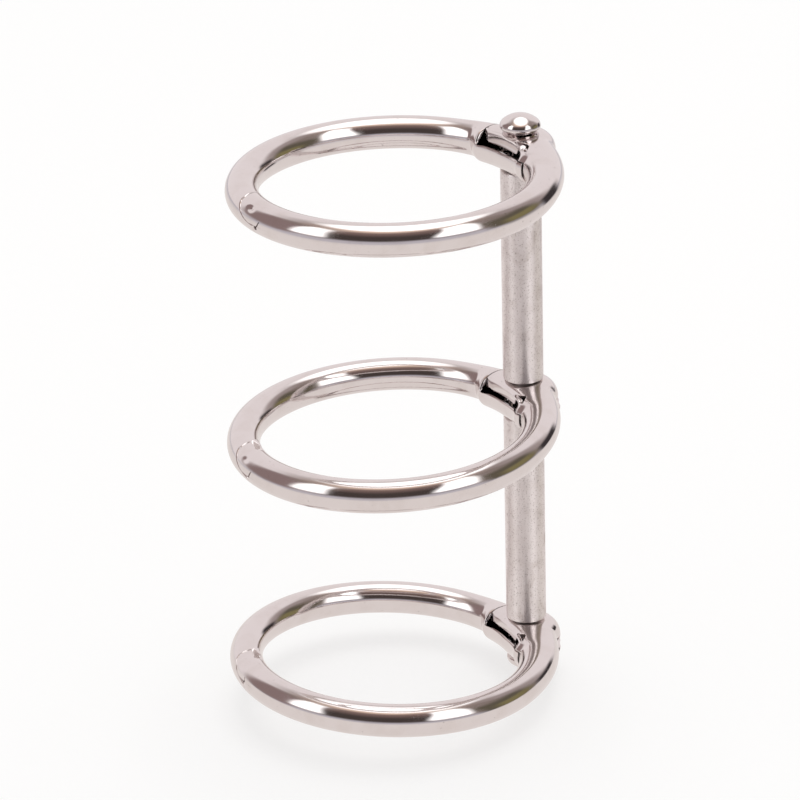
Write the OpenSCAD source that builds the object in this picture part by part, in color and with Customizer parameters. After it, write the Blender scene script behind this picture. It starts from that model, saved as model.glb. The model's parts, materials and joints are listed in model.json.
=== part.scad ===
// Three-ring loose-leaf binding.
// Three hinged book rings turn on one long rivet; two tube spacers hold them apart.
// Z runs along the rivet, the origin is on its axis in the plane of the middle ring.
// Units are millimetres.

/* [Rings] */
// Clear inside diameter of each closed ring
ring_bore = 30; // [25:1:50]
// Outside diameter of the ring tube
tube_dia = 3.8; // [3.4:0.1:5]
// Sheet thickness of the ring halves
wall = 0.5; // [0.4:0.05:0.7]
// Distance between neighbouring rings along the rivet
ring_pitch = 30.5; // [24:0.5:60]

/* [Hinge] */
// Diameter of the rivet shank
rod_dia = 2.6; // [2.2:0.1:3]
// Height of the hinge eye along the rivet
eye_height = 4.6; // [4.2:0.1:6]
// Distance from the rivet axis to the rim of the eye
eye_reach = 4.0; // [3.8:0.1:5]
// How far the rivet axis sits outside the ring circle
pivot_offset = 0.85; // [0.4:0.05:1.5]
// Radial play of the eyes on the rivet
bore_play = 0.06; // [0.03:0.01:0.1]
// Play between an eye and the spacer or head beside it
end_play = 0.1; // [0.05:0.05:0.3]
// Slit between the upper and the lower eye
eye_slit = 0.3; // [0.2:0.05:0.5]
// Distance from the rivet axis to the cut end of the back tube
cut_reach = 4.7; // [4.5:0.1:6]
// Length of the front half's tail behind the rivet axis
tail_length = 3.3; // [2.5:0.1:3.8]
// Distance from the rivet axis to the end of the lower eye
lap_reach = 5.1; // [4.8:0.1:6]
// Gap between the end of the lower eye and the front tube
lap_gap = 0.35; // [0.3:0.05:0.6]

/* [Spacers and heads] */
// Outside diameter of the tube spacers
spacer_dia = 4.7; // [4.2:0.1:6]
// Radial gap between spacer and rivet shank
spacer_play = 0.1; // [0.05:0.05:0.3]
// Diameter of the rivet heads
head_dia = 4.9; // [4.4:0.1:7]
// Height of the rivet heads
head_height = 1.9; // [1.2:0.1:3]
// Height of the straight rim of a head
head_rim = 0.5; // [0.3:0.1:1]

/* [Latch] */
// Angle where the tip of the upper tongue ends
tongue_tip = 166.3; // [160:0.1:170]
// Angle where the lower end of the front half is cut
mouth_cut = 182; // [180:0.5:186]
// Slope of the tongue's lower edge
tongue_slope = 27; // [20:1:35]
// Slit round the tongue
latch_slit = 0.2; // [0.15:0.05:0.4]
// Diameter of the spigot inside the tongue
spigot_dia = 1.9; // [1.4:0.1:2.1]

/* [Stance of the rings] */
// Turn of the top ring about the rivet
top_turn = 35.7; // [-180:0.1:180]
// Turn of the middle ring about the rivet
middle_turn = 30.6; // [-180:0.1:180]
// Turn of the bottom ring about the rivet
bottom_turn = 26.3; // [-180:0.1:180]
// Lean of the top ring about the X axis
top_lean_x = 0.4; // [-3:0.1:3]
// Lean of the top ring about the Y axis
top_lean_y = -0.5; // [-3:0.1:3]
// Lean of the middle ring about the X axis
middle_lean_x = 1.2; // [-3:0.1:3]
// Lean of the middle ring about the Y axis
middle_lean_y = -1.7; // [-3:0.1:3]
// Lean of the bottom ring about the X axis
bottom_lean_x = -0.5; // [-3:0.1:3]
// Lean of the bottom ring about the Y axis
bottom_lean_y = 2.8; // [-3:0.1:3]

/* [Shown part] */
// Piece to draw

/* [Hidden] */
$fn = 96;
eps = 0.01;
tube_r = tube_dia / 2;
rho = ring_bore / 2 + tube_r;
pivot = rho + pivot_offset;
run_angle = acos(rho / pivot);
run_length = pivot * sin(run_angle);
eye_h = eye_height / 2;
eye_flat = eye_reach - eye_h;
bore_r = rod_dia / 2 + bore_play;
stack = eye_h + end_play;
spacer_length = ring_pitch - 2 * stack;
head_r = head_dia / 2;
dome = head_height - head_rim;
dome_r = (head_r * head_r + dome * dome) / (2 * dome);
back_cut = asin(cut_reach / pivot);
tail_cut = asin(tail_length / pivot);
lap_angle = 277;
big = 4 * ring_bore;
zone = 4.5 * eye_reach;
run_overlap = 0.4;
run_step = 0.02;
flare = (eye_h - tube_r) / run_length;
// Angles on the ring circle, 0 at the rivet and growing over the back half
slope_at = 174.6;
tip_gap = 0.7;
plug_from = 160;
plug_to = 163.5;
spigot_tip = 178;
spigot_shift = 0.12;
steel = [0.80, 0.78, 0.77];
dull_steel = [0.74, 0.72, 0.71];

// ---- rivet and spacers ----

module head_profile() {
    square([head_r, head_rim]);
    intersection() {
        translate([0, head_height - dome_r]) circle(r = dome_r);
        translate([0, head_rim - eps]) square([head_r, head_height]);
    }
}

module head() {
    rotate_extrude() head_profile();
}

module hinge_rod() {
    color(steel) {
        translate([0, 0, -ring_pitch - stack - 0.5])
            cylinder(d = rod_dia, h = 2 * (ring_pitch + stack) + 1);
        translate([0, 0, ring_pitch + stack]) head();
        translate([0, 0, -ring_pitch - stack]) mirror([0, 0, 1]) head();
    }
}

module spacer(z) {
    color(dull_steel)
    translate([0, 0, z + stack])
        difference() {
            cylinder(d = spacer_dia, h = spacer_length);
            translate([0, 0, -1])
                cylinder(r = rod_dia / 2 + spacer_play, h = spacer_length + 2);
        }
}

module upper_spacer() {
    spacer(0);
}

module lower_spacer() {
    spacer(-ring_pitch);
}

// ---- solids of a ring half; the rivet axis is the Z axis ----

// Rounded disc round the rivet, shrunk by t
module eye(t) {
    rotate_extrude() {
        translate([0, t - eye_h]) square([eye_flat, 2 * (eye_h - t)]);
        intersection() {
            translate([eye_flat, 0]) circle(r = eye_h - t);
            translate([eye_flat - eps, -eye_h]) square([eye_reach, eye_height]);
        }
    }
}

// Tube along the ring circle from angle a to angle b
module arc(a, b, r) {
    translate([-pivot, 0, 0])
        rotate([0, 0, a])
            rotate_extrude(angle = b - a)
                translate([rho, 0]) circle(r = r);
}

// Straight flared run from the ring circle to the rivet, side +1 back or -1 front.
// It starts inside the arc and is a hair fatter where the arc ends, so the two cross cleanly.
module run(side, t) {
    translate([-pivot, 0, 0])
        rotate([0, 0, side * run_angle])
            translate([rho, side * run_overlap, 0])
                rotate([side * 90, 0, 0])
                    cylinder(r1 = tube_r + run_step - t - flare * run_overlap,
                             r2 = eye_h - t,
                             h = run_length + run_overlap);
}

// Block round the rivet that keeps the cuts of the hinge off the latch
module hinge_zone() {
    translate([-zone / 2, -zone / 2, -zone / 2])
        cube([zone, zone, zone]);
}

// Half space on the far side of a radial cut through the ring centre
module past(angle, side) {
    translate([-pivot, 0, 0])
        rotate([0, 0, angle])
            translate([-big, side > 0 ? 0 : -big, -big / 2])
                cube([2 * big, big, big]);
}

// Block beyond the end of the lower eye
module beyond_lap(d) {
    rotate([0, 0, lap_angle])
        translate([d, -big / 2, -big / 2])
            cube([big, big, big]);
}

// Block over the slanted lower edge of the tongue, moved down by s
module over_slope(s) {
    translate([-pivot, 0, 0])
        rotate([0, 0, slope_at])
            translate([rho, 0, 0])
                rotate([-tongue_slope, 0, 0])
                    translate([-2 * tube_dia, -2 * tube_dia, -s])
                        cube([4 * tube_dia, 4 * tube_dia, 2 * tube_dia]);
}

module set_ring(turn, lean_x, lean_y) {
    rotate([lean_x, lean_y, 0]) rotate([0, 0, turn]) children();
}

// Hollow ring half from angle a to angle b before its ends are cut
module shell(a, b, turn, lean_x, lean_y) {
    difference() {
        union() {
            rotate([0, 0, turn]) eye(0);
            set_ring(turn, lean_x, lean_y) {
                run(1, 0);
                run(-1, 0);
                arc(a, b, tube_r);
            }
        }
        rotate([0, 0, turn]) eye(wall);
        set_ring(turn, lean_x, lean_y) {
            run(1, wall);
            run(-1, wall);
        }
        cylinder(r = bore_r, h = 3 * eye_h, center = true);
    }
}

// Half with the lower eye and the spigot of the latch
module back_half(z, turn, lean_x, lean_y) {
    translate([0, 0, z]) {
        difference() {
            shell(run_angle, mouth_cut - tip_gap, turn, lean_x, lean_y);
            rotate([0, 0, turn]) back_hinge_cuts();
            set_ring(turn, lean_x, lean_y) {
                arc(run_angle, plug_from, tube_r - wall);
                arc(plug_to, mouth_cut + 1, tube_r - wall);
                intersection() {
                    over_slope(latch_slit);
                    past(tongue_tip - tip_gap, 1);
                }
            }
        }
        set_ring(turn, lean_x, lean_y) spigot();
    }
}

module spigot() {
    translate([-pivot, 0, 0])
        rotate([0, 0, plug_from + 1])
            rotate_extrude(angle = spigot_tip - plug_from - 1)
                translate([rho - spigot_shift, 0]) circle(d = spigot_dia);
}

module back_hinge_cuts() {
    // upper part between the radial cut and the end of the lower eye
    difference() {
        translate([-zone / 2, -zone / 2, eye_slit / -2])
            cube([zone, zone, zone]);
        past(back_cut, 1);
    }
    // everything beyond the end of the lower eye
    intersection() {
        hinge_zone();
        beyond_lap(lap_reach);
    }
}

// Half with the upper eye and the tongue of the latch
module front_half(z, turn, lean_x, lean_y) {
    translate([0, 0, z])
        difference() {
            shell(tongue_tip, 360 - run_angle, turn, lean_x, lean_y);
            rotate([0, 0, turn]) front_hinge_cuts();
            set_ring(turn, lean_x, lean_y) {
                arc(tongue_tip - 1, 360 - run_angle, tube_r - wall);
                difference() {
                    past(mouth_cut, -1);
                    over_slope(0);
                    past(mouth_cut + 30, 1);
                }
            }
        }
}

module front_hinge_cuts() {
    // lower part between the tail and the full tube
    difference() {
        translate([-zone / 2, -zone / 2, eye_slit / 2 - zone])
            cube([zone, zone, zone]);
        beyond_lap(lap_reach + lap_gap);
    }
    // end of the tail behind the rivet
    intersection() {
        hinge_zone();
        past(tail_cut, 1);
    }
}

module back_half_top() {
    color(steel) back_half(ring_pitch, top_turn, top_lean_x, top_lean_y);
}

module front_half_top() {
    color(steel) front_half(ring_pitch, top_turn, top_lean_x, top_lean_y);
}

module back_half_middle() {
    color(steel) back_half(0, middle_turn, middle_lean_x, middle_lean_y);
}

module front_half_middle() {
    color(steel) front_half(0, middle_turn, middle_lean_x, middle_lean_y);
}

module back_half_bottom() {
    color(steel) back_half(-ring_pitch, bottom_turn, bottom_lean_x, bottom_lean_y);
}

module front_half_bottom() {
    color(steel) front_half(-ring_pitch, bottom_turn, bottom_lean_x, bottom_lean_y);
}

hinge_rod();
upper_spacer();
lower_spacer();
back_half_top();
front_half_top();
back_half_middle();
front_half_middle();
back_half_bottom();
front_half_bottom();
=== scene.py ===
"""Looks of a three-ring loose-leaf binding: nickel rings, rivet and spacers in a plain studio."""

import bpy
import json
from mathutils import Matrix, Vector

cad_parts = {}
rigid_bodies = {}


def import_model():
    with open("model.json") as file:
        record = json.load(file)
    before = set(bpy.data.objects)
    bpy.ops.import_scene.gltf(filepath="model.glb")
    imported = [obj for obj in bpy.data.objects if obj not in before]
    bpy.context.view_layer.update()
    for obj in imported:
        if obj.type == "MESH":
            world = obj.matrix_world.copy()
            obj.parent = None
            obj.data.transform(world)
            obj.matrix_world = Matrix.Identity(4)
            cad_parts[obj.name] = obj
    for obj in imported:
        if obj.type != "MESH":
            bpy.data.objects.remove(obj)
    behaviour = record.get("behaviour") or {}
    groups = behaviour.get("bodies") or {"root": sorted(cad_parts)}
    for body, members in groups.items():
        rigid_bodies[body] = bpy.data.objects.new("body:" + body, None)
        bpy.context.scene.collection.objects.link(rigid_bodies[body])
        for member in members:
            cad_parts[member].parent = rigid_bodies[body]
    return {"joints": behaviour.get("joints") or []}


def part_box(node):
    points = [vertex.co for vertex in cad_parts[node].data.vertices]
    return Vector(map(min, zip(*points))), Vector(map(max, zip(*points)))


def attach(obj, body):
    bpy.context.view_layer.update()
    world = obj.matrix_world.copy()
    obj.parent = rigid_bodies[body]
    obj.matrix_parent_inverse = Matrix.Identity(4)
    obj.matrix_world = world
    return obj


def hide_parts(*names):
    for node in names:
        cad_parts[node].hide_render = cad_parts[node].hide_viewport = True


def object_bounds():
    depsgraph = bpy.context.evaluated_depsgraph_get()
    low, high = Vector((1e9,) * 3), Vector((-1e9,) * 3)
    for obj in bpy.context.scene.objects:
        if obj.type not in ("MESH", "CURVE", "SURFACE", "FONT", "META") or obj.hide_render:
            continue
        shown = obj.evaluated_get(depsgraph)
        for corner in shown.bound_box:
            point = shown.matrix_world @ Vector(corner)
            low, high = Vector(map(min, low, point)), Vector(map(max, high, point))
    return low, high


bl_info = {
    "name": "Three-ring binding",
    "version": (1, 0, 0),
    "blender": (4, 5, 0),
    "location": "3D View > Sidebar > Binding",
    "description": "Builds the hinged rings, the rivet and its spacers round the packed frame",
    "category": "Add Mesh",
}

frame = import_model()

import json
import math

import bmesh
import bpy
import numpy as np
from bpy.props import FloatProperty, FloatVectorProperty, PointerProperty
from mathutils import Matrix, Vector

MM = 0.001
CAD_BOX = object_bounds()
ROD_LOW, ROD_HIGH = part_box("hinge_rod")
RINGS = ("top", "middle", "bottom")
RING_HEIGHT = {
    joint["child"].replace("back_", ""): joint["pos_m"][2]
    for joint in frame["joints"]
    if joint["parent"] == "rivet"
}


# ---- sizes and finishes ----


class RingSizes(bpy.types.PropertyGroup):
    """Sizes of the ring halves."""

    outer_radius: FloatProperty(
        name="Outer radius", description="Outer radius of a closed ring",
        default=18.8 * MM, unit="LENGTH")
    inner_radius: FloatProperty(
        name="Inner radius", description="Clear inside radius of a closed ring",
        default=15.0 * MM, unit="LENGTH")
    pivot_radius: FloatProperty(
        name="Pivot radius", description="Distance from the ring centre to the rivet axis",
        default=17.75 * MM, unit="LENGTH")
    tube_radius: FloatProperty(
        name="Tube radius", description="Half height of the ring tube",
        default=1.9 * MM, unit="LENGTH")
    eye_half_height: FloatProperty(
        name="Eye half height", description="Half height of the flattened hinge eye",
        default=2.3 * MM, unit="LENGTH")
    eye_radius: FloatProperty(
        name="Eye radius", description="Outer radius of the hinge eye round the rivet",
        default=4.0 * MM, unit="LENGTH")
    wall: FloatProperty(
        name="Wall", description="Sheet thickness of the ring halves",
        default=0.5 * MM, unit="LENGTH")
    edge_round: FloatProperty(
        name="Edge rounding", description="Width of the rounding on the sheet edges",
        default=0.07 * MM, unit="LENGTH")


class StanceAngles(bpy.types.PropertyGroup):
    """How each ring sits on the rivet: turn about it, then a small lean."""

    top: FloatVectorProperty(
        name="Top ring", description="Lean about X, lean about Y and turn of the top ring",
        default=[math.radians(a) for a in (0.4, -0.5, 35.7)], subtype="EULER")
    middle: FloatVectorProperty(
        name="Middle ring", description="Lean about X, lean about Y and turn of the middle ring",
        default=[math.radians(a) for a in (1.2, -1.7, 30.6)], subtype="EULER")
    bottom: FloatVectorProperty(
        name="Bottom ring", description="Lean about X, lean about Y and turn of the bottom ring",
        default=[math.radians(a) for a in (-0.5, 2.8, 26.3)], subtype="EULER")


class RivetSizes(bpy.types.PropertyGroup):
    """Sizes of the rivet and the tube spacers."""

    shank_radius: FloatProperty(
        name="Shank radius", description="Radius of the rivet shank",
        default=1.3 * MM, unit="LENGTH")
    head_radius: FloatProperty(
        name="Head radius", description="Radius of the domed rivet heads",
        default=2.45 * MM, unit="LENGTH")
    head_height: FloatProperty(
        name="Head height", description="Height of the domed rivet heads",
        default=1.9 * MM, unit="LENGTH")
    spacer_bore: FloatProperty(
        name="Spacer bore", description="Inner radius of the tube spacers",
        default=1.4 * MM, unit="LENGTH")
    spacer_round: FloatProperty(
        name="Spacer rounding", description="Rounding of the spacer ends",
        default=0.12 * MM, unit="LENGTH")


class FinishSettings(bpy.types.PropertyGroup):
    """Colours and gloss of the nickel."""

    nickel: FloatVectorProperty(
        name="Nickel", description="Colour of the bright nickel plating",
        default=(0.80, 0.75, 0.745), subtype="COLOR")
    spacer_nickel: FloatVectorProperty(
        name="Spacer nickel", description="Colour of the brushed nickel of the spacers",
        default=(0.94, 0.885, 0.875), subtype="COLOR")
    stain: FloatVectorProperty(
        name="Stain", description="Colour of the faint brown stains on the spacers",
        default=(0.50, 0.40, 0.32), subtype="COLOR")
    dust: FloatVectorProperty(
        name="Dust", description="Colour of the sparse specks",
        default=(0.20, 0.16, 0.14), subtype="COLOR")
    grain: FloatVectorProperty(
        name="Grain", description="Colour of the fine grain of the brushed nickel",
        default=(0.42, 0.36, 0.33), subtype="COLOR")
    ring_roughness: FloatProperty(
        name="Ring roughness", description="Roughness of the ring halves and the rivet",
        default=0.07, min=0.0, max=1.0)
    spacer_roughness: FloatProperty(
        name="Spacer roughness", description="Roughness of the tube spacers",
        default=0.34, min=0.0, max=1.0)


class StudioSettings(bpy.types.PropertyGroup):
    """Camera, floor and light."""

    distance: FloatProperty(
        name="Camera distance", description="Distance from the camera to the middle of the rivet",
        default=612.9 * MM, unit="LENGTH")
    elevation: FloatProperty(
        name="Camera elevation", description="Angle at which the camera looks down",
        default=0.4003, subtype="ANGLE")
    yaw: FloatProperty(
        name="Camera yaw", description="Sideways aim of the camera",
        default=-0.0234, subtype="ANGLE")
    pitch: FloatProperty(
        name="Camera pitch", description="Upward aim of the camera",
        default=0.0005, subtype="ANGLE")
    roll: FloatProperty(
        name="Camera roll", description="Roll of the camera about its axis",
        default=0.0126, subtype="ANGLE")
    lens: FloatProperty(
        name="Lens", description="Focal length on a 36 mm sensor",
        default=237.47, unit="CAMERA")
    room_light: FloatProperty(
        name="Room light", description="Strength of the even light from all round",
        default=0.75, min=0.0)
    floor_colour: FloatVectorProperty(
        name="Floor colour", description="Colour of the plain floor",
        default=(0.93, 0.915, 0.905), subtype="COLOR")
    floor_gloss: FloatVectorProperty(
        name="Floor in the gloss", description="Colour of the floor as the nickel mirrors it",
        default=(0.84, 0.79, 0.765), subtype="COLOR")


# ---- shader maths ----


class Shade:
    """A shader socket that takes part in plain arithmetic."""

    def __init__(self, graph, socket):
        self.graph = graph
        self.socket = socket

    def out(self, name):
        """Another output of the same node."""
        return Shade(self.graph, self.socket.node.outputs[name])

    def _math(self, operation, first, second):
        return self.graph.add("Math", {"operation": operation}, {0: first, 1: second})

    def __add__(self, other):
        return self._math("ADD", self, other)

    def __radd__(self, other):
        return self._math("ADD", other, self)

    def __sub__(self, other):
        return self._math("SUBTRACT", self, other)

    def __rsub__(self, other):
        return self._math("SUBTRACT", other, self)

    def __mul__(self, other):
        return self._math("MULTIPLY", self, other)

    def __rmul__(self, other):
        return self._math("MULTIPLY", other, self)

    def __truediv__(self, other):
        return self._math("DIVIDE", self, other)

    def __rtruediv__(self, other):
        return self._math("DIVIDE", other, self)

    def __abs__(self):
        return self._math("ABSOLUTE", self, 0.0)


class Graph:
    """Nodes of one material or of the world."""

    def __init__(self, tree):
        tree.nodes.clear()
        self.tree = tree

    def add(self, kind, settings=None, sockets=None):
        """Adds a node: its settings are set first, then the values or links of its sockets."""
        node = self.tree.nodes.new("ShaderNode" + kind)
        for name, value in (settings or {}).items():
            setattr(node, name, value)
        for key, value in (sockets or {}).items():
            if isinstance(value, Shade):
                self.tree.links.new(value.socket, node.inputs[key])
            else:
                node.inputs[key].default_value = value
        shown = [s for s in node.outputs if s.enabled]
        return Shade(self, shown[0]) if shown else node

    def mix(self, factor, first, second):
        """Colour mix from first to second; a plain colour may have three numbers."""
        return self.add("Mix", {"data_type": "RGBA"},
                        {0: factor, 6: four(first), 7: four(second)})

    def step(self, value, low, high):
        """Smooth step from 0 at low to 1 at high."""
        return self.add("MapRange", {"interpolation_type": "SMOOTHSTEP"},
                        {"Value": value, "From Min": low, "From Max": high})

    def band(self, value, low, high, soft):
        """1 between low and high with soft edges."""
        return (self.step(value, low - soft, low + soft)
                * (1 - self.step(value, high - soft, high + soft)))


def four(colour):
    """A plain colour with its alpha of 1, or a socket as it is."""
    return colour if isinstance(colour, Shade) else (*colour, 1.0)


def nickel_material(name, finish, roughness, brushed):
    """Nickel plate: a trace of waviness, hairline scratches, cloudy wear and dust. The brushed
    one has its hairlines along the tube, brown stains and a fine dark grain."""
    material = bpy.data.materials.new(name)
    material.use_nodes = True
    g = Graph(material.node_tree)
    place = g.add("TexCoord").out("Object")
    waves = g.add("TexNoise", {}, {"Vector": place, "Scale": 180.0, "Detail": 2.0})
    clouds = g.add("TexNoise", {}, {"Vector": place, "Scale": 420.0, "Detail": 4.0})
    along = g.add("Mapping", {}, {"Vector": place, "Scale": (1.0, 1.0, 0.04 if brushed else 1.0)})
    hairs = g.add("TexNoise", {}, {"Vector": along, "Scale": 9000.0 if brushed else 5200.0,
                                  "Detail": 3.0, "Roughness": 0.6})
    specks = g.step(g.add("TexNoise", {}, {"Vector": place, "Scale": 2600.0, "Detail": 1.0}),
                    0.74, 0.80)
    wear = g.step(clouds, 0.42, 0.72)
    plate = finish.spacer_nickel if brushed else finish.nickel
    colour = g.mix(wear * 0.10, plate, finish.stain)
    colour = g.mix(specks * 0.30, colour, finish.dust)
    gloss = roughness + wear * 0.05 + hairs * 0.03 + specks * 0.15
    height = waves + hairs * (0.020 if brushed else 0.006) - specks * 0.02
    if brushed:
        drift = g.add("TexNoise", {}, {"Vector": place, "Scale": 260.0, "Detail": 5.0,
                                      "Distortion": 0.6})
        stain = g.step(drift, 0.56, 0.74)
        grain = g.add("TexNoise", {}, {"Vector": place, "Scale": 6500.0, "Detail": 2.0})
        colour = g.mix(stain * 0.30, colour, finish.stain)
        colour = g.mix(g.step(grain, 0.56, 0.70) * 0.5, colour, finish.grain)
        gloss = gloss + stain * 0.12 + g.step(grain, 0.45, 0.65) * 0.12
        height = height * 0.35 + grain * 0.05
    bump = g.add("Bump", {}, {"Height": height, "Strength": 1.0, "Distance": 0.02 * MM})
    drawn, across = (0.85, 0.25) if brushed else (0.0, 0.0)
    shader = g.add("BsdfPrincipled", {}, {"Base Color": colour, "Metallic": 1.0,
                                          "Roughness": gloss, "Normal": bump,
                                          "Anisotropic": drawn, "Anisotropic Rotation": across})
    g.add("OutputMaterial", {}, {"Surface": shader})
    return material


# ---- shape of a ring ----


def smooth(t):
    """Smooth step of t from 0 to 1."""
    t = np.clip(t, 0.0, 1.0)
    return t * t * (3.0 - 2.0 * t)


def share(x, start, end):
    """0 at start, 1 at end, straight between them."""
    return np.clip((x - start) / (end - start), 0.0, 1.0)


def ramp(x, start, end):
    """0 before start, 1 beyond end, smooth between them."""
    return smooth((x - start) / (end - start))


def soft_positive(x, width):
    """x where x is well above 0 and 0 where it is well below."""
    return 0.5 * (x + np.sqrt(x * x + width * width))


def soft_max(a, b, width):
    """The greater of a and b, rounded over a width where they cross."""
    return 0.5 * (a + b + np.sqrt((a - b) ** 2 + width ** 2))


def roll(t):
    """How far a rolled edge has turned in, from 0 at t = 0 to nearly 1 at t = 1."""
    return 1.0 - np.sqrt(1.0 - 0.98 * t ** 2)


class RingShape:
    """The pressed tube of one ring. Angles are in degrees: psi runs round the ring, 0 at the
    rivet and positive over the back half; theta runs round the tube, 0 outward and 90 up."""

    # where the rows of points change their spacing: round the eye, at the end of the hinge and
    # where the latch begins
    eye_end = 8.0
    hinge_end = 36.0
    latch_start = 148.0
    # the free ends at the hinge: the front half's tail, the back half's cut and the flat lap
    # cuts, whose direction and distances from the rivet are given
    tail_end = 12.4
    back_cut = 12.95
    lap_middle = -19.0
    lap_normal = math.radians(277.0)
    front_lap = 5.45 * MM
    back_lap = 5.10 * MM
    half_slit = 0.12 * MM
    # the mouth of the latch, ring by ring: psi of the plain seam, theta of the tongue's lower
    # edge, theta where the wedge below it closes, and how far the mouth line is moved round
    seam = {"top": 182.2, "middle": 181.2, "bottom": 180.2}
    foot = {"top": -5.0, "middle": -4.0, "bottom": 8.0}
    wedge = {"top": -11.0, "middle": -17.0, "bottom": -6.0}
    shift = {"top": 0.2, "middle": 0.0, "bottom": -1.9}

    def __init__(self, ring, sizes, stance):
        self.sizes = sizes
        self.ring = ring
        lean_x, lean_y, turn = getattr(stance, ring)
        lean = Matrix.Rotation(lean_y, 3, "Y") @ Matrix.Rotation(lean_x, 3, "X")
        self.turn = np.array(lean @ Matrix.Rotation(turn, 3, "Z"))
        self.height = RING_HEIGHT[ring]

    # -- envelope --

    def outer(self, psi):
        """Outer radius: it swells towards the hinge, where the eye stands proud."""
        s = self.sizes
        # where the swell starts, in degrees; it grows in millimetres per degree and per square
        front_start, back_start = 50.0, 25.0
        front = soft_positive(front_start + psi, 8.0)
        back = soft_positive(back_start - psi, 5.0)
        swell = np.where(psi < 0, 0.02 * front + 0.00045 * front ** 2,
                         0.02 * back + 0.001 * back ** 2) * MM
        a = np.radians(psi)
        inside = s.eye_radius ** 2 - (s.pivot_radius * np.sin(a)) ** 2
        eye = s.pivot_radius * np.cos(a) + np.sqrt(np.maximum(inside, 0.0))
        eye = np.where((np.abs(psi) < 60) & (inside > 0), eye, 0.0)
        return soft_max(s.outer_radius + swell, eye, 0.25 * MM)

    def inner(self, psi):
        """Inner radius: the hinge bulges into the ring."""
        depth = 0.85 - 0.30 * ramp(psi, -2.0, -18.0)
        bulge = ramp(psi, -24.0, -18.5) * ramp(psi, 20.5, 13.5)
        return self.sizes.inner_radius - depth * MM * bulge

    def half_height(self, psi):
        """Half height of the tube, which grows to the eye's."""
        s = self.sizes
        spread = 34.0
        near = smooth(1.0 - np.abs(psi) / spread)
        return s.tube_radius + (s.eye_half_height - s.tube_radius) * near

    def section(self, psi, theta):
        """Radius and height of the envelope: two half rounds with soft flats between them."""
        out, inn, h = self.outer(psi), self.inner(psi), self.half_height(psi)
        c, s = np.cos(np.radians(theta)), np.sin(np.radians(theta))
        flat = (out - inn) / 2.0 - h
        softness = 0.0609
        side = c * math.sqrt(1.0 + softness) / np.sqrt(c * c + softness)
        return (out + inn) / 2.0 + flat * side + h * c, h * s

    def local(self, psi, radius, z):
        """Point about the rivet axis in the ring's own plane."""
        a = np.radians(psi)
        return np.stack([radius * np.cos(a) - self.sizes.pivot_radius,
                         radius * np.sin(a), z + 0.0 * a], axis=-1)

    def normal(self, psi, theta):
        """Outward direction of a plain round tube."""
        a, t = np.radians(psi), np.radians(theta)
        return np.stack([np.cos(t) * np.cos(a), np.cos(t) * np.sin(a), np.sin(t)], -1)

    def place(self, points):
        """From the ring's own plane to the frame of the whole binding."""
        return points @ self.turn.T + np.array([0.0, 0.0, self.height])

    # -- cut lines --

    def lap(self, theta, distance):
        """psi where the flat lap cut at a distance from the rivet crosses the tube."""
        psi = np.full(np.shape(theta), self.lap_middle)
        normal = np.array([math.cos(self.lap_normal), math.sin(self.lap_normal), 0.0])
        for _ in range(40):
            r, z = self.section(psi, theta)
            psi = psi + np.clip((self.local(psi, r, z) @ normal - distance)
                                / (0.3 * MM), -4.0, 4.0) * 0.6
        return psi

    def level(self, psi, height):
        """theta at which the tube crosses a height of the upright hinge, on its outer side."""
        h = self.half_height(psi)
        theta = np.zeros(np.shape(psi))
        for _ in range(6):
            r, z = self.section(psi, theta)
            world = self.local(psi, r, z) @ self.turn.T
            theta = theta + np.degrees((height - world[..., 2]) / h)
        return theta

    def tail(self, theta):
        """psi where the tail ends; its outer part stays nearer the rivet to swing clear."""
        return self.tail_end - 0.8 * ramp(np.cos(np.radians(theta)), 0.1, 0.9)

    def mouth_line(self, theta, below, gap):
        """psi of the mouth: knots below the tongue, then the line round the tongue, which the
        front half has with a gap and the back half a little ragged."""
        foot, shift = self.foot[self.ring], self.shift[self.ring]
        knots = below + [(foot, 176.5 + shift), (foot + 6.0, 174.2 + shift),
                         (foot + 21.0, 171.6 + shift), (37.0, 169.4 + shift),
                         (50.0, 168.3 + shift), (75.0, 167.9 + shift), (102.0, 166.6 + shift),
                         (128.0, 164.4 + shift), (176.0, 180.3), (180.0, 180.3)]
        t = (theta + 180.0) % 360.0 - 180.0
        line = np.interp(t, [k[0] for k in knots], [k[1] for k in knots])
        if gap:
            return line + np.where(t > foot - 0.5, gap, 0.0)
        ragged = 0.10 * np.sin(np.radians(7.0 * t)) + 0.07 * np.sin(np.radians(17.0 * t + 40.0))
        return line + ragged

    # -- column angles --

    def columns(self, start, end, exact):
        """Evenly spaced columns, with the exact ones in place of their nearest neighbours."""
        spacing, clear = 3.75, 1.3
        even = np.arange(start, end, spacing)
        far = np.all([np.abs(even - e) > clear for e in exact], axis=0)
        return np.unique(np.concatenate([even[far], exact]))

    def blended(self, exact, plain, fade):
        """An exact angle near the hinge that fades to the plain one away from it."""
        return plain + (exact - plain) * fade

    def warp(self, columns, knots):
        """Moves the columns of every row so that named columns run along given angles."""
        names = [k[0] for k in knots]
        rows = [np.interp(columns, names, [float(k[1][i]) for k in knots])
                for i in range(len(knots[0][1]))]
        return np.array(rows)


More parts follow.
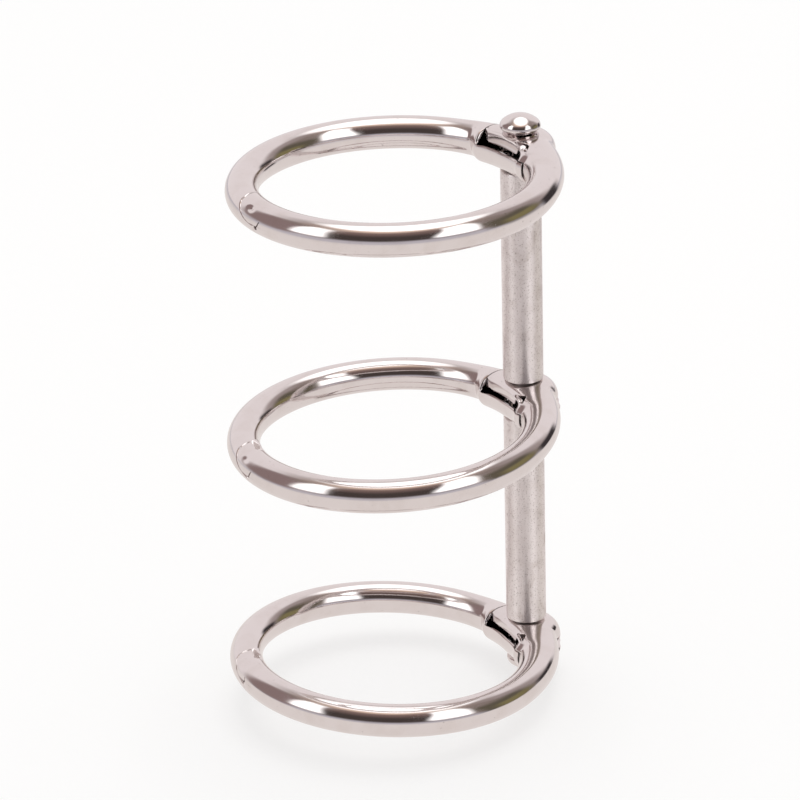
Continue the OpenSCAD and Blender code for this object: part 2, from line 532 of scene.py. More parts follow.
class FrontHalf(RingShape):
    """The half with the upper eye, the tail behind the rivet and the tongue of the latch."""

    # names of the columns along the outer edge, the ledge, the strip under it and its foot
    edge, ledge, under_ledge, lip, end = 3.0, 131.0, 131.8, 160.0, 363.0
    stop = -178.0
    ledge_angle = {"top": 120.5, "middle": 132.0, "bottom": 135.0}
    # the pressed strip: radius of its wall, its step behind the ledge, how far its foot leans
    # into the ring, how many degrees further round the foot runs, and the foot's height in
    # millimetres
    strip_radius = 15.36 * MM
    strip_step = 0.12 * MM
    strip_lean = 0.25 * MM
    strip_reach = 0.6
    strip_foot = {"top": 0.82, "middle": 0.60, "bottom": 0.58}
    # psi and theta of the corners of the relief hole
    relief_corners = {"top": ((-6.2, 116.0), (-14.6, 98.0), (-20.6, 121.0)),
                      "middle": ((-9.2, 128.0), (-15.4, 102.0), (-20.5, 128.0)),
                      "bottom": ((-10.8, 130.0), (-15.0, 106.0), (-21.0, 131.0))}
    # psi, theta and radius in millimetres of the nub beside it
    nub_spot = {"top": (-15.0, 115.0, 0.34), "middle": (-16.8, 124.0, 0.24)}

    def nub(self, name):
        """A low round nub beside the relief hole, or nothing."""
        if self.ring not in self.nub_spot:
            return None
        psi, theta, size = self.nub_spot[self.ring]
        size, crown, rise, depth = size * MM, 1.7 * MM, 0.12 * MM, 0.22 * MM
        profile = (arc_points((0.0, rise - crown), crown, 90.0,
                              90.0 - math.degrees(math.asin(size / crown)), 6)
                   + [(size + 0.05 * MM, 0.02 * MM), (size + 0.06 * MM, -0.10 * MM),
                      (size, -depth), (0.0, -depth)])
        mesh = turned(name, profile, 32)
        spot = self.place(self.corners([(psi, theta)]))[0]
        facing = Vector((0.0, -0.485, 0.875)).to_track_quat("Z", "Y").to_matrix().to_4x4()
        mesh.transform(Matrix.Translation(Vector(spot)) @ facing)
        return mesh

    def mouth(self, theta):
        """psi of the free end, measured backwards from the hinge: the tongue reaches furthest."""
        seam, foot = self.seam[self.ring], self.foot[self.ring]
        return self.mouth_line(theta, [(-180.0, 180.7), (-24.0, 180.2), (-19.0, seam),
                                       (foot - 1.2, seam)], 0.42) - 360.0

    def grid(self):
        """Points of the outer surface, the mask of its faces, the side they face and the share
        of the wall thickness at each point."""
        foot = self.foot[self.ring] % 360.0
        columns = self.columns(self.edge, self.end, (self.edge, self.ledge, self.under_ledge,
                                                     self.lip, foot - 1.2, foot))
        eye_end, hinge_end, latch_start = -self.eye_end, -self.hinge_end, -self.latch_start
        last = self.stop + 1.2
        rows = np.concatenate([
            np.arange(self.tail_end, eye_end, -0.55),
            np.linspace(eye_end, self.lap_middle, 20),
            np.linspace(self.lap_middle, hinge_end, 28)[1:],
            np.linspace(hinge_end, latch_start, 76)[1:],
            np.linspace(latch_start, last, 50)[1:],
            np.linspace(last, self.stop, 8)[1:]])
        near = rows[:, None] + 0.0 * columns
        height = self.half_height(rows)
        fade = ramp(rows, hinge_end, -26.0)
        out = self.level(rows, self.half_slit)
        ledge = self.ledge_angle[self.ring] - 14.0 * ramp(rows, 8.5, 13.5)
        lip_z = (self.strip_foot[self.ring] + 0.22 * ramp(rows, 6.0, 12.4)
                 + 0.18 * ramp(rows, -10.0, -21.0)) * MM
        lip = 180.0 - np.degrees(np.arcsin(lip_z / height))
        edge = self.blended(out, self.edge, fade)
        theta = self.warp(columns, [
            (self.edge, edge), (60.0, 60.0 + 0 * rows),
            (self.ledge, self.blended(ledge, self.ledge, fade)),
            (self.under_ledge, self.blended(ledge + 0.4, self.under_ledge, fade)),
            (self.lip, self.blended(lip, self.lip, fade)), (200.0, 200.0 + 0 * rows),
            (320.0, 320.0 + 0 * rows), (self.end, edge + 360.0)])
        # rows lean to follow the lap cut and the mouth
        lap = self.lap(theta, self.front_lap)
        mouth = self.mouth(columns)[None, :] + 0 * theta
        down = share(columns, self.under_ledge, self.lip)
        on_strip = (columns >= self.under_ledge) & (columns <= self.lip)
        tail = self.tail(theta) + self.strip_reach * (down * on_strip)[None, :]
        to_lap = share(near, eye_end, self.lap_middle)
        past_lap = share(near, self.lap_middle, hinge_end)
        to_mouth = share(near, latch_start, self.stop)
        psi = np.select(
            [near >= 0, near >= eye_end, near >= self.lap_middle, near >= hinge_end,
             near >= latch_start],
            [share(near, 0.0, self.tail_end) * tail, near, eye_end + to_lap * (lap - eye_end),
             lap + past_lap * (hinge_end - lap), near],
            latch_start + to_mouth * (mouth - latch_start))
        radius, z = self.section(psi, theta)
        # the pressed flat set back under the ledge
        at_ledge = self.section(psi, self.column(theta, columns, self.ledge))[0]
        wall_radius = (np.maximum(self.strip_radius, at_ledge + self.strip_step)
                       - self.strip_lean * down)
        pressed = ramp(psi, -22.0, -10.0) * on_strip[None, :]
        radius = radius + (wall_radius - radius) * pressed
        points = self.local(psi, radius, z)
        points = self.flat(self.dimple(points, psi, theta), psi, theta)
        mask = np.ones((len(rows) - 1, len(columns)), bool)
        upper = (columns >= self.edge) & (columns < self.lip)
        mask[rows[1:] >= self.lap_middle - 0.01] &= upper
        # thinner beside the ledge, so that the inner side stays clear of itself
        beside = np.abs(columns - self.ledge - 0.4)[None, :] + 0 * theta
        full = 1.0 - 0.66 * ramp(psi, -23.0, -17.0) * (1.0 - smooth((beside - 1.0) / 12.0))
        return self.place(points), mask, -1, full

    def column(self, theta, columns, name):
        """theta of one named column, row by row."""
        return theta[:, [int(np.argmin(np.abs(columns - name)))]] + 0 * theta

    def dimple(self, points, psi, theta):
        """A pressed dimple on the shoulder of the tongue, deeper on some rings than others."""
        depth = {"top": 0.26, "middle": 0.11, "bottom": 0.0}[self.ring] * MM
        along = (psi + 360.0 - 176.6) / 1.5
        across = (theta - 43.5) / 9.0
        fall = depth * np.exp(-(along ** 2 + across ** 2))
        return points - self.normal(psi, theta) * fall[..., None]

    def flat(self, points, psi, theta):
        """A small flat on the shoulder of the tongue, tipped forwards."""
        if self.ring == "top":
            return points
        middle = 169.8 + self.shift[self.ring]
        centre = self.corners([(middle - 360.0, 114.0)])[0]
        facing = np.array([0.13, -0.31, 0.94]) @ self.turn
        normal = self.normal(psi, theta)
        drop = ((points - centre) @ facing) / np.maximum(normal @ facing, 0.3)
        inside = (ramp(psi + 360.0, middle - 5.8, middle - 5.0)
                  * ramp(psi + 360.0, middle + 4.4, middle + 3.6)
                  * ramp(theta, 98.0, 102.0) * ramp(theta, 133.0, 129.0))
        drop = np.clip(drop, -0.30 * MM, 0.42 * MM) * inside
        return points - normal * drop[..., None]

    def relief(self):
        """Corners of the small three-cornered hole where the ledge ends."""
        return self.corners(self.relief_corners[self.ring])

    def slit(self):
        """Corners of the slit between the tongue and the seam."""
        seam, foot = self.seam[self.ring], self.foot[self.ring]
        tip = {"top": (1.6, 20.0), "middle": (1.7, 23.0), "bottom": (-0.4, 16.0)}[self.ring]
        return self.corners(((seam - 360.35, foot - 3.0), (seam - 359.55, foot - 3.0),
                             (seam - 359.8 + tip[0], foot + tip[1]),
                             (seam - 360.2 + tip[0], foot + tip[1])))

    def corners(self, pairs):
        """Points of the envelope at pairs of psi and theta."""
        corners = []
        for psi, theta in pairs:
            r, height = self.section(np.array(psi), np.array(theta))
            corners.append(self.local(np.array(psi), r, height))
        return np.array(corners)


class BackHalf(RingShape):
    """The half with the lower eye and the spigot of the latch."""

    # names of the columns along the lip on the inner side and along the outer edge
    lip, edge = 185.0, 357.0
    stop = 180.0
    # height of the lip beside the hinge, in millimetres
    lip_height = {"top": 0.66, "middle": 0.48, "bottom": 0.46}
    tab_height = 0.30 * MM
    # how far round the rims of the mouth and of the cut are rolled in, and how deep
    mouth_roll, mouth_depth = 1.05, 0.20 * MM
    cut_roll, cut_depth = 1.4, 0.42 * MM

    def mouth(self, theta):
        """psi of the free end, a hair short of the tongue."""
        seam, wedge = self.seam[self.ring], self.wedge[self.ring]
        return self.mouth_line(theta, [(-180.0, 180.3), (-24.0, 179.8),
                                       (wedge, min(seam - 0.4, 180.0))], 0.0)

    def grid(self):
        """Points of the outer surface, the mask of its faces, the side they face and the share
        of the wall thickness at each point."""
        columns = self.columns(2.0, 360.0, (self.lip, self.edge, self.foot[self.ring] % 360.0,
                                            self.wedge[self.ring] % 360.0))
        eye_end, hinge_end, latch_start = -self.eye_end, self.hinge_end, self.latch_start
        behind_rim, last = self.back_cut + 1.5, self.stop - 1.2
        rows = np.concatenate([
            np.linspace(self.lap_middle, eye_end, 20),
            np.linspace(eye_end, self.back_cut, 42)[1:],
            np.linspace(self.back_cut, behind_rim, 12)[1:],
            np.linspace(behind_rim, hinge_end, 32)[1:],
            np.linspace(hinge_end, latch_start, 76)[1:],
            np.linspace(latch_start, last, 50)[1:],
            np.linspace(last, self.stop, 10)[1:]])
        near = rows[:, None] + 0.0 * columns
        height = self.half_height(rows)
        fade = 1.0 - ramp(rows, 17.0, 26.0)
        out = self.level(rows, -self.half_slit)
        lip_z = (self.lip_height[self.ring] + 0.16 * ramp(rows, -4.0, -18.0)
                 - 0.12 * ramp(rows, 8.0, 12.0)) * MM
        lip = 180.0 - np.degrees(np.arcsin(lip_z / height))
        theta = self.warp(columns, [
            (0.0, 0.0 * rows), (150.0, 150.0 + 0 * rows),
            (self.lip, self.blended(lip, self.lip, fade)),
            (220.0, 220.0 + 0 * rows), (320.0, 320.0 + 0 * rows),
            (self.edge, self.blended(out + 360.0, self.edge, fade)), (360.0, 360.0 + 0 * rows)])
        lap = self.lap(theta, self.back_lap)
        to_lap = share(near, eye_end, self.lap_middle)
        to_mouth = share(near, latch_start, self.stop)
        mouth = self.mouth(columns)[None, :] + 0 * theta
        psi = np.where(near < eye_end, eye_end + to_lap * (lap - eye_end), near)
        psi = np.where(near > latch_start, latch_start + to_mouth * (mouth - latch_start), psi)
        radius, z = self.section(psi, theta)
        # a small tab stands out at the end of the lower eye
        tab = (ramp(psi, -15.5, -13.0) * ramp(psi, -6.0, -9.0)
               * ramp(theta, 285.0, 320.0) * (theta < 358.0))
        radius = radius + self.tab_height * tab
        points = self.local(psi, radius, z)
        # the rim of the mouth is rolled in
        rolled = roll(np.clip((psi - mouth) / self.mouth_roll + 1.0, 0.0, 1.0))
        depth = self.mouth_depth * np.where(near > latch_start, rolled, 0.0)
        points = points - self.normal(psi, theta) * depth[..., None]
        # and so is the cut end beside the hinge, on the open side
        rolled = roll(np.clip(1.0 - (psi - self.back_cut) / self.cut_roll, 0.0, 1.0))
        rolled = rolled * ((near < latch_start) & (psi >= self.back_cut - 0.01))
        rolled = rolled * ramp(theta, 108.0, 124.0) * ramp(theta, lip[:, None] - 2.0,
                                                           lip[:, None] - 12.0)
        points = points - self.normal(psi, theta) * (self.cut_depth * rolled)[..., None]
        mask = np.ones((len(rows) - 1, len(columns)), bool)
        lower = (columns >= self.lip) & (columns < self.edge)
        mask[rows[1:] <= self.back_cut + 0.01] &= lower
        # thinner along the open rim
        behind_cut = np.abs(psi - self.back_cut)
        open_side = ramp(theta, -1.0, 4.0) * ramp(theta, 196.0, 186.0)
        full = 1.0 - 0.72 * open_side * (1.0 - smooth(behind_cut / 2.5))
        return self.place(points), mask, 1, full

    def spigot(self):
        """Closed plug and spigot that stands in the end of the tube."""
        centre = (self.sizes.outer_radius + self.sizes.inner_radius) / 2.0
        # psi, then the radius and the shift towards the ring's centre in millimetres
        stations = [(160.0, 0.0, 0.0), (160.0, 1.35, 0.0), (160.4, 1.43, 0.0), (163.2, 1.43, 0.0),
                    (163.6, 1.30, 0.0), (164.0, 0.95, 0.12), (168.0, 0.95, 0.12),
                    (172.0, 0.95, 0.12), (176.5, 0.95, 0.12), (177.5, 0.85, 0.12),
                    (178.0, 0.60, 0.12), (178.1, 0.0, 0.12)]
        theta = np.arange(0.0, 360.0, 7.5)
        rings = []
        for psi, radius, shift in stations:
            t = np.radians(theta)
            rings.append(self.local(np.full(theta.shape, psi),
                                    centre - shift * MM + radius * MM * np.cos(t),
                                    radius * MM * np.sin(t)))
        return self.place(np.array(rings)), np.ones((len(stations) - 1, len(theta)), bool), 1


# ---- meshes ----


def grid_mesh(name, points, mask, direction, full=None):
    """A surface through rows of points that closes round each row; mask drops faces, and full
    is the share of the wall thickness at each point."""
    rows, columns = points.shape[:2]
    i, j = np.nonzero(mask)
    k = (j + 1) % columns
    quads = np.stack([i * columns + j, (i + 1) * columns + j,
                      (i + 1) * columns + k, i * columns + k], axis=1)
    if direction < 0:
        quads = quads[:, ::-1]
    used, quads = np.unique(quads, return_inverse=True)
    mesh = bpy.data.meshes.new(name)
    mesh.from_pydata(points.reshape(-1, 3)[used].tolist(), [], quads.reshape(-1, 4).tolist())
    mesh.update()
    if full is not None:
        layer = mesh.attributes.new("full", "FLOAT", "POINT")
        layer.data.foreach_set("value", full.reshape(-1)[used].astype(np.float32))
    return mesh


def thicken(piece, wall):
    """Gives the surface its sheet thickness, inwards."""
    group = piece.vertex_groups.new(name="full")
    for vertex, full in zip(piece.data.vertices, piece.data.attributes["full"].data):
        group.add([vertex.index], full.value, "REPLACE")
    modify(piece, "SOLIDIFY", thickness=wall, offset=-1.0, use_even_offset=True,
           use_quality_normals=True, vertex_group="full", thickness_vertex_group=0.0)


def weld(mesh, distance=0.002 * MM):
    """Welds doubled points and drops faces without area."""
    work = bmesh.new()
    work.from_mesh(mesh)
    bmesh.ops.remove_doubles(work, verts=work.verts, dist=distance)
    bmesh.ops.dissolve_degenerate(work, edges=work.edges, dist=distance)
    work.to_mesh(mesh)
    work.free()
    return mesh


def new_object(name, mesh):
    """An object in the scene with this mesh."""
    piece = bpy.data.objects.new(name, mesh)
    bpy.context.scene.collection.objects.link(piece)
    return piece


def settle(piece):
    """Replaces the mesh by its evaluated form and drops the modifiers."""
    depsgraph = bpy.context.evaluated_depsgraph_get()
    mesh = bpy.data.meshes.new_from_object(piece.evaluated_get(depsgraph))
    piece.modifiers.clear()
    old, piece.data = piece.data, mesh
    bpy.data.meshes.remove(old)


def modify(piece, kind, **settings):
    """Adds a modifier with its settings."""
    modifier = piece.modifiers.new(kind.title(), kind)
    for name, value in settings.items():
        setattr(modifier, name, value)
    return modifier


def round_edges(piece, width):
    """Rounds the sharp edges."""
    modify(piece, "BEVEL", width=width, segments=2, limit_method="ANGLE",
           angle_limit=math.radians(38), use_clamp_overlap=True)


def finish_piece(piece, material, body, node):
    """Smooth shading, material, and the piece's place in the frame."""
    piece.data.polygons.foreach_set("use_smooth", [True] * len(piece.data.polygons))
    piece.data.set_sharp_from_angle(angle=math.radians(62))
    piece.data.materials.clear()
    piece.data.materials.append(material)
    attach(piece, body)
    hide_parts(node)


def join(piece, extra):
    """Adds the mesh of extra to piece."""
    work = bmesh.new()
    work.from_mesh(piece.data)
    work.from_mesh(extra.data)
    work.to_mesh(piece.data)
    work.free()
    bpy.data.objects.remove(extra)


def pierce(mesh, corners, outward):
    """Cuts a hole with straight sides and clipped corners through the sheet."""
    clip, reach, depth, facing = 0.14, 3.4 * MM, 0.7 * MM, 0.25
    middle = corners.mean(axis=0)
    normal = np.cross(corners[1] - corners[0], corners[2] - corners[0])
    normal = normal * math.copysign(1.0, normal @ outward) / np.linalg.norm(normal)
    outline = []
    for i, here in enumerate(corners):
        before, after = corners[i - 1], corners[(i + 1) % len(corners)]
        outline += [here + (before - here) * clip, here + (after - here) * clip]
    sides = []
    for here, after in zip(outline, outline[1:] + outline[:1]):
        out = np.cross(after - here, normal)
        out = out * math.copysign(1.0, out @ (here - middle)) / np.linalg.norm(out)
        sides.append((Vector(here), Vector(out)))
    middle, normal = Vector(middle), Vector(normal)
    work = bmesh.new()
    work.from_mesh(mesh)
    work.normal_update()
    faces = [f for f in work.faces if (f.calc_center_median() - middle).length < reach
             and abs((f.calc_center_median() - middle) @ normal) < depth
             and f.normal @ normal > facing]
    for here, out in sides:
        geometry = set(faces)
        for f in faces:
            geometry.update(f.edges)
            geometry.update(f.verts)
        cut = bmesh.ops.bisect_plane(work, geom=list(geometry), dist=0.001 * MM,
                                     plane_co=here, plane_no=out)
        faces = [part for part in cut["geom"] if isinstance(part, bmesh.types.BMFace)]
    inside = [f for f in faces if all((f.calc_center_median() - here) @ out < 0
                                      for here, out in sides)]
    if not inside:
        raise RuntimeError("the hole misses the sheet")
    bmesh.ops.delete(work, geom=inside, context="FACES")
    work.to_mesh(mesh)
    work.free()


def turned(name, profile, steps=96):
    """Surface turned about Z from a profile of (radius, height) points, from top to bottom."""
    angle = np.radians(np.arange(0.0, 360.0, 360.0 / steps))
    points = np.array([[(r * math.cos(a), r * math.sin(a), z) for a in angle]
                       for r, z in profile])
    mesh = grid_mesh(name, points, np.ones((len(profile) - 1, steps), bool), 1)
    return weld(mesh)


def arc_points(centre, radius, start, stop, count):
    """Points on an arc in the profile plane, angles in degrees from the radius axis."""
    return [(centre[0] + radius * math.cos(math.radians(a)),
             centre[1] + radius * math.sin(math.radians(a)))
            for a in np.linspace(start, stop, count)]


def material_of(name):
    """A finish that the first operator has made."""
    found = bpy.data.materials.get(name)
    if found is None:
        raise RuntimeError(f"there is no material {name}; it is made first")
    return found


# ---- pieces ----


class BINDING_OT_materials(bpy.types.Operator):
    """Makes the bright and the brushed nickel"""

    bl_idname = "binding.materials"
    bl_label = "Nickel finishes"

    def execute(self, context):
        finish = context.scene.binding_finish
        nickel_material("Bright nickel", finish, finish.ring_roughness, False)
        nickel_material("Brushed nickel", finish, finish.spacer_roughness, True)
        return {"FINISHED"}


class BINDING_OT_rivet(bpy.types.Operator):
    """Builds the long rivet with its two domed heads"""

    bl_idname = "binding.rivet"
    bl_label = "Rivet"

    def execute(self, context):
        s = context.scene.binding_rivet
        top = ROD_HIGH.z
        under = top - s.head_height
        # a low crown that turns into a rounded edge, a rounded lip below it and a neck
        crown, edge, lip, turn = 3.1 * MM, 0.85 * MM, 0.20 * MM, 42.0
        slope = math.radians(turn)
        middle_of_edge = ((crown - edge) * math.sin(slope),
                          top - crown + (crown - edge) * math.cos(slope))
        upper = (arc_points((0.0, top - crown), crown, 90.0, 90.0 - turn, 24)
                 + arc_points(middle_of_edge, edge, 90.0 - turn, 0.0, 18)[1:])
        widest, level = upper[-1]
        side = (arc_points((widest - lip, level - 0.03 * MM), lip, 0.0, -75.0, 10)
                + [(s.head_radius - 0.42 * MM, under + 0.16 * MM),
                   (s.head_radius - 0.45 * MM, under + 0.03 * MM),
                   (s.head_radius - 0.50 * MM, under)])
        shank = [(s.shank_radius + 0.05 * MM, under), (s.shank_radius, under - 0.05 * MM)]
        head = upper + side + shank
        below = [(r, ROD_LOW.z + (top - z)) for r, z in reversed(head)]
        middle = [(s.shank_radius, z) for z in np.linspace(shank[-1][1], below[0][1], 60)[1:-1]]
        rod = new_object("rivet", turned("rivet", head + middle + below, 128))
        finish_piece(rod, material_of("Bright nickel"), "rivet", "hinge_rod")
        return {"FINISHED"}


class BINDING_OT_spacers(bpy.types.Operator):
    """Builds the two tube spacers between the rings"""

    bl_idname = "binding.spacers"
    bl_label = "Spacers"

    def execute(self, context):
        s = context.scene.binding_rivet
        for node in ("upper_spacer", "lower_spacer"):
            low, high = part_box(node)
            outer, bore, r = high.x, s.spacer_bore, s.spacer_round
            start = (bore, (low.z + high.z) / 2.0)
            wall = np.linspace(high.z - r, low.z + r, 90)[1:-1]
            profile = ([start, (bore, high.z - r)]
                       + arc_points((bore + r, high.z - r), r, 180.0, 90.0, 5)
                       + arc_points((outer - r, high.z - r), r, 90.0, 0.0, 6)
                       + [(outer, z) for z in wall]
                       + arc_points((outer - r, low.z + r), r, 0.0, -90.0, 6)
                       + arc_points((bore + r, low.z + r), r, -90.0, -180.0, 5)
                       + [start])
            name = node.replace("_", ".")
            piece = new_object(name, turned(name, profile))
            finish_piece(piece, material_of("Brushed nickel"), "rivet", node)
        return {"FINISHED"}


class BINDING_OT_back_halves(bpy.types.Operator):
    """Builds the back halves with the lower eye and the spigot"""

    bl_idname = "binding.back_halves"
    bl_label = "Back halves"

    def execute(self, context):
        s = context.scene.binding_ring
        for ring in RINGS:
            shape = BackHalf(ring, s, context.scene.binding_stance)
            name = "back.half." + ring
            piece = new_object(name, weld(grid_mesh(name, *shape.grid())))
            thicken(piece, s.wall)
            round_edges(piece, s.edge_round)
            settle(piece)
            spigot = new_object(name + ".spigot", weld(grid_mesh(name, *shape.spigot())))
            join(piece, spigot)
            finish_piece(piece, material_of("Bright nickel"), "back_" + ring,
                         "back_half_" + ring)
        return {"FINISHED"}


class BINDING_OT_front_halves(bpy.types.Operator):
    """Builds the front halves with the upper eye and the tongue"""

    bl_idname = "binding.front_halves"
    bl_label = "Front halves"

    def execute(self, context):
        s = context.scene.binding_ring
        for ring in RINGS:
            shape = FrontHalf(ring, s, context.scene.binding_stance)
            name = "front.half." + ring
            sheet = weld(grid_mesh(name, *shape.grid()))
            pierce(sheet, shape.place(shape.relief()), np.array([0.0, 0.0, 1.0]))
            pierce(sheet, shape.place(shape.slit()), np.array([-0.8, -0.5, 0.4]))
            piece = new_object(name, sheet)
            thicken(piece, s.wall)
            round_edges(piece, s.edge_round)
            settle(piece)
            nub = shape.nub(name)
            if nub:
                join(piece, new_object(name + ".nub", nub))
            finish_piece(piece, material_of("Bright nickel"), "front_" + ring,
                         "front_half_" + ring)
        return {"FINISHED"}


# ---- studio ----


# what the nickel mirrors
WINDOW = (1.8, 1.8, 1.8)
OVERHEAD = (1.7, 1.7, 1.7)
HALO = (0.88, 0.68, 0.55)
FAR_FLOOR = (0.58, 0.555, 0.60)
SHRUB_SHADE = (0.16, 0.14, 0.09)
BLACK_BOX = (0.045, 0.038, 0.04)
WHITE = (1.0, 1.0, 1.0)
# the overhead light: middle and half widths, as the X and Y of directions from the object
OVERHEAD_MIDDLE = (0.04, 0.22)
OVERHEAD_HALF = (0.366, 0.395)

STUDIO_PATCHES = (
    # name; azimuth from, to, softness; elevation from, to, softness; lean; radiance
    ("far backdrop", -64, 50, 12, -20, 54, 12, 0, (0.88, 0.82, 0.82)),
    ("right wall", 50, 72, 10, 6, 56, 12, 0, (0.39, 0.33, 0.32)),
    ("right shrubs", 64, 112, 8, -3, 38, 9, 0, (0.125, 0.108, 0.078)),
    ("right leaves", 66, 97, 8, 0, 20, 6, 0, (0.23, 0.20, 0.095)),
    ("right black box", 38, 60, 4, -20, 12, 5, 0, BLACK_BOX),
    ("left wall", -108, -62, 8, 3, 50, 8, 8, (0.28, 0.205, 0.20)),
    ("left window", -134, -107, 4, 14, 61, 5, 17, WINDOW),
    ("right window", 118, 151, 4, 14, 65, 5, -22, WINDOW),
)


def studio_world(world, studio):
    """Even light for the shadows, a white backdrop for the camera and a room in the gloss."""
    world.use_nodes = True
    g = Graph(world.node_tree)
    split = g.add("SeparateXYZ", {}, {"Vector": g.add("TexCoord").out("Generated")})
    x, y, z = split, split.out("Y"), split.out("Z")
    azimuth = g.add("Math", {"operation": "ARCTAN2"}, {0: x, 1: y}) * math.degrees(1.0)
    height = g.add("Math", {"operation": "ARCSINE"}, {0: z}) * math.degrees(1.0)
    # walls and ceiling, darker on the camera's side
    room = g.mix(g.step(height, 50.0, 66.0), (0.27, 0.22, 0.20), (0.44, 0.35, 0.31))
    dark = g.mix(g.step(height, 34.0, 66.0), (0.066, 0.051, 0.047), (0.24, 0.165, 0.15))
    colour = g.mix(g.step(abs(azimuth), 112.0, 140.0), room, dark)
    # the far floor reaches higher on the camera's side than beyond the binding
    edge = height - g.step(abs(azimuth), 85.0, 118.0) * 8.0
    colour = g.mix(g.step(edge, 9.0, -6.0), colour, FAR_FLOOR)
    # windows and walls with a lean turn away from the camera as they rise
    rise = g.add("Math", {"operation": "MAXIMUM"}, {0: height - 10.0, 1: 0.0}) / 50.0
    for _, left, right, side_soft, low, high, end_soft, lean, radiance in STUDIO_PATCHES:
        across = azimuth - rise * rise * lean if lean else azimuth
        mask = g.band(across, left, right, side_soft) * g.band(height, low, high, end_soft)
        colour = g.mix(mask, colour, radiance)
    colour = g.mix(g.step(height, 61.0, 77.0), colour, HALO)
    u = (x - OVERHEAD_MIDDLE[0]) / OVERHEAD_HALF[0]
    v = (y - OVERHEAD_MIDDLE[1]) / OVERHEAD_HALF[1]
    off = g.add("Math", {"operation": "SQRT"}, {0: u * u + v * v})
    colour = g.mix(g.step(off, 1.2, 0.82) * g.step(height, 30.0, 40.0), colour, OVERHEAD)
    path = g.add("LightPath")
    light = g.mix(path.out("Is Glossy Ray"), [studio.room_light] * 3, colour)
    light = g.mix(path.out("Is Camera Ray"), light, WHITE)
    g.add("OutputWorld", {}, {"Surface": g.add("Background", {}, {"Color": light})})


def floor_material(studio):
    """Plain pale floor: white to the camera apart from the object's soft shadow. To glossy rays
    it glows with a painted reflection instead of being lit: darker with distance, with the
    painted dark foot of the box and painted shade of the shrubs."""
    material = bpy.data.materials.new("Pale floor")
    material.use_nodes = True
    g = Graph(material.node_tree)
    place = g.add("TexCoord").out("Object")
    mottle = g.add("TexNoise", {}, {"Vector": place, "Scale": 30.0, "Detail": 3.0})
    colour = g.mix(mottle * 0.04, studio.floor_colour, (0.88, 0.87, 0.86))
    matte = g.add("BsdfPrincipled", {}, {"Base Color": colour, "Roughness": 0.9})
    split = g.add("SeparateXYZ", {}, {"Vector": place})
    x, y = split, split.out("Y")
    reach = g.add("Math", {"operation": "SQRT"}, {0: x * x + y * y})
    azimuth = g.add("Math", {"operation": "ARCTAN2"}, {0: x, 1: y}) * math.degrees(1.0)
    # painted reflection of the floor for glossy rays: darker with distance, with painted shade of
    # the shrubs and the painted foot of the dark box
    gloss = g.mix(g.step(reach, 0.14, 0.70), studio.floor_gloss, FAR_FLOOR)
    box = g.band(azimuth, 38.0, 60.0, 4.0) * g.band(reach, 0.28, 1.5, 0.08)
    shade = g.band(azimuth, 62.0, 100.0, 8.0) * g.band(reach, 0.40, 1.5, 0.20)
    gloss = g.mix(shade * 0.55, gloss, SHRUB_SHADE)
    gloss = g.mix(box, gloss, BLACK_BOX)
    # the floor glows with this painted reflection, though it is no lamp
    painted_floor_reflection = g.add("Emission", {}, {"Color": gloss})
    white = g.add("Emission", {}, {"Color": four(WHITE), "Strength": 0.62})
    lit = g.add("AddShader", {}, {0: g.add("MixShader", {}, {0: 0.6, 1: matte}), 1: white})
    path = g.add("LightPath")
    seen = g.add("MixShader", {}, {0: path.out("Is Glossy Ray"), 1: matte, 2: painted_floor_reflection})
    seen = g.add("MixShader", {}, {0: path.out("Is Camera Ray"), 1: seen, 2: lit})
    g.add("OutputMaterial", {}, {"Surface": seen})
    return material


def lay_floor(studio):
    """A plain square floor, level with the lowest point of the binding."""
    half, ground = 0.9, CAD_BOX[0][2]
    steps = np.linspace(-half, half, 25)
    n = len(steps)
    points = [(x, y, ground) for y in steps for x in steps]
    faces = [(j * n + i, j * n + i + 1, (j + 1) * n + i + 1, (j + 1) * n + i)
             for j in range(n - 1) for i in range(n - 1)]
    mesh = bpy.data.meshes.new("floor")
    mesh.from_pydata(points, [], faces)
    mesh.materials.append(floor_material(studio))
    new_object("floor", mesh)


def hang_softbox(collection):
    """A wide soft lamp overhead; the gloss sees the world's own overhead light instead."""
    lamp = bpy.data.lights.new("overhead softbox", "AREA")
    lamp.shape = "ELLIPSE"
    reach, radiance = 0.70, 2.0
    lamp.size = 2.0 * reach * math.tan(math.radians(19.0))
    lamp.size_y = 2.0 * reach * math.tan(math.radians(27.0))
    lamp.energy = radiance * math.pi * math.pi * lamp.size * lamp.size_y / 4.0
    toward = Vector((*OVERHEAD_MIDDLE, 0.97)).normalized()
    across = Vector((0.0, 1.0, 0.0)).cross(toward).normalized()
    aim = Matrix((across, toward.cross(across), toward)).transposed()
    softbox = bpy.data.objects.new("overhead softbox", lamp)
    softbox.matrix_world = Matrix.Translation(toward * reach) @ aim.to_4x4()
    softbox.visible_glossy = False
    collection.objects.link(softbox)


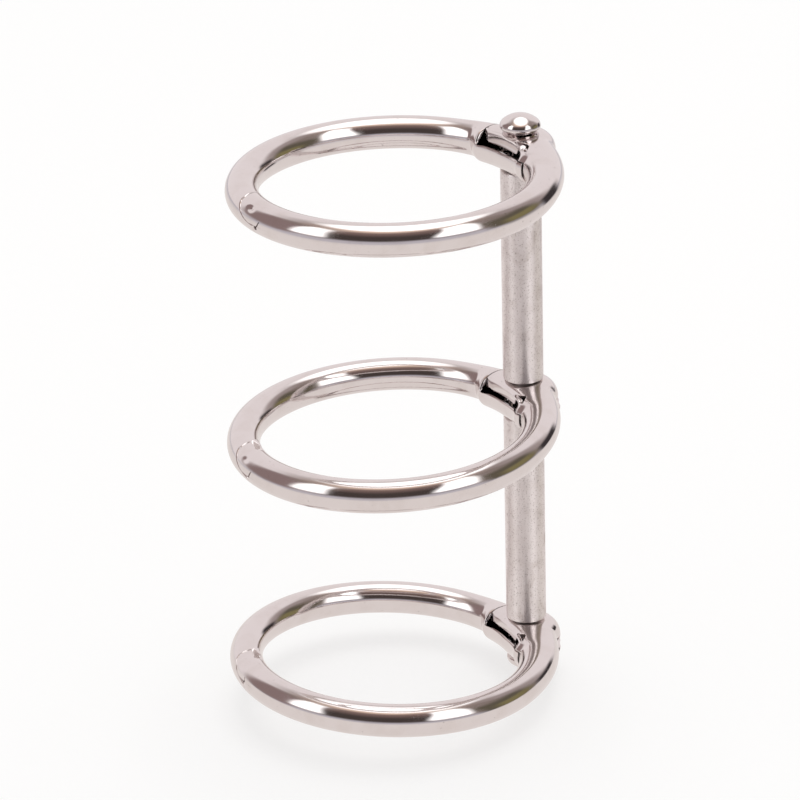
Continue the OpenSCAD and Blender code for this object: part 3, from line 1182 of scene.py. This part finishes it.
def aim_camera(collection, studio):
    """The camera in front of the binding, looking down at the middle of the rivet."""
    lens = bpy.data.cameras.new("camera")
    lens.lens, lens.sensor_width = studio.lens, 36.0
    lens.clip_start, lens.clip_end = 0.05, 10.0
    down = studio.elevation
    back = Vector((0.0, -math.cos(down), math.sin(down)))
    right = Vector((1.0, 0.0, 0.0))
    facing = Matrix((right, back.cross(right), back)).transposed()
    facing = (facing @ Matrix.Rotation(-studio.yaw, 3, "Y")
              @ Matrix.Rotation(-studio.pitch, 3, "X") @ Matrix.Rotation(-studio.roll, 3, "Z"))
    camera = bpy.data.objects.new("camera", lens)
    camera.matrix_world = Matrix.Translation(back * studio.distance) @ facing.to_4x4()
    collection.objects.link(camera)
    return camera


class BINDING_OT_stage(bpy.types.Operator):
    """Sets up the floor, the light and the camera"""

    bl_idname = "binding.stage"
    bl_label = "Studio"

    def execute(self, context):
        studio = context.scene.binding_studio
        lay_floor(studio)
        context.scene.world = bpy.data.worlds.new("studio")
        studio_world(context.scene.world, studio)
        hang_softbox(context.scene.collection)
        context.scene.camera = aim_camera(context.scene.collection, studio)
        context.scene.view_settings.view_transform = "Standard"
        return {"FINISHED"}


# ---- panel and registration ----


PIECES = (BINDING_OT_materials, BINDING_OT_rivet, BINDING_OT_spacers, BINDING_OT_back_halves,
          BINDING_OT_front_halves, BINDING_OT_stage)
SETTINGS = {"binding_ring": RingSizes, "binding_stance": StanceAngles,
            "binding_rivet": RivetSizes, "binding_finish": FinishSettings,
            "binding_studio": StudioSettings}


class BINDING_PT_panel(bpy.types.Panel):
    """Lists the pieces of the binding"""

    bl_idname = "BINDING_PT_panel"
    bl_label = "Three-ring binding"
    bl_space_type = "VIEW_3D"
    bl_region_type = "UI"
    bl_category = "Binding"

    def draw(self, context):
        for piece in PIECES:
            self.layout.operator(piece.bl_idname)
        for name, group in SETTINGS.items():
            box = self.layout.box()
            box.label(text=group.__doc__)
            for prop in group.__annotations__:
                box.prop(getattr(context.scene, name), prop)


def register():
    for cls in (*SETTINGS.values(), *PIECES, BINDING_PT_panel):
        bpy.utils.register_class(cls)
    for name, group in SETTINGS.items():
        setattr(bpy.types.Scene, name, PointerProperty(type=group))


def unregister():
    for name in SETTINGS:
        delattr(bpy.types.Scene, name)
    for cls in (BINDING_PT_panel, *reversed(PIECES), *reversed(list(SETTINGS.values()))):
        bpy.utils.unregister_class(cls)


def main():
    register()
    for piece in PIECES:
        group, name = piece.bl_idname.split(".")
        getattr(getattr(bpy.ops, group), name)()


if __name__ == "__main__":
    main()
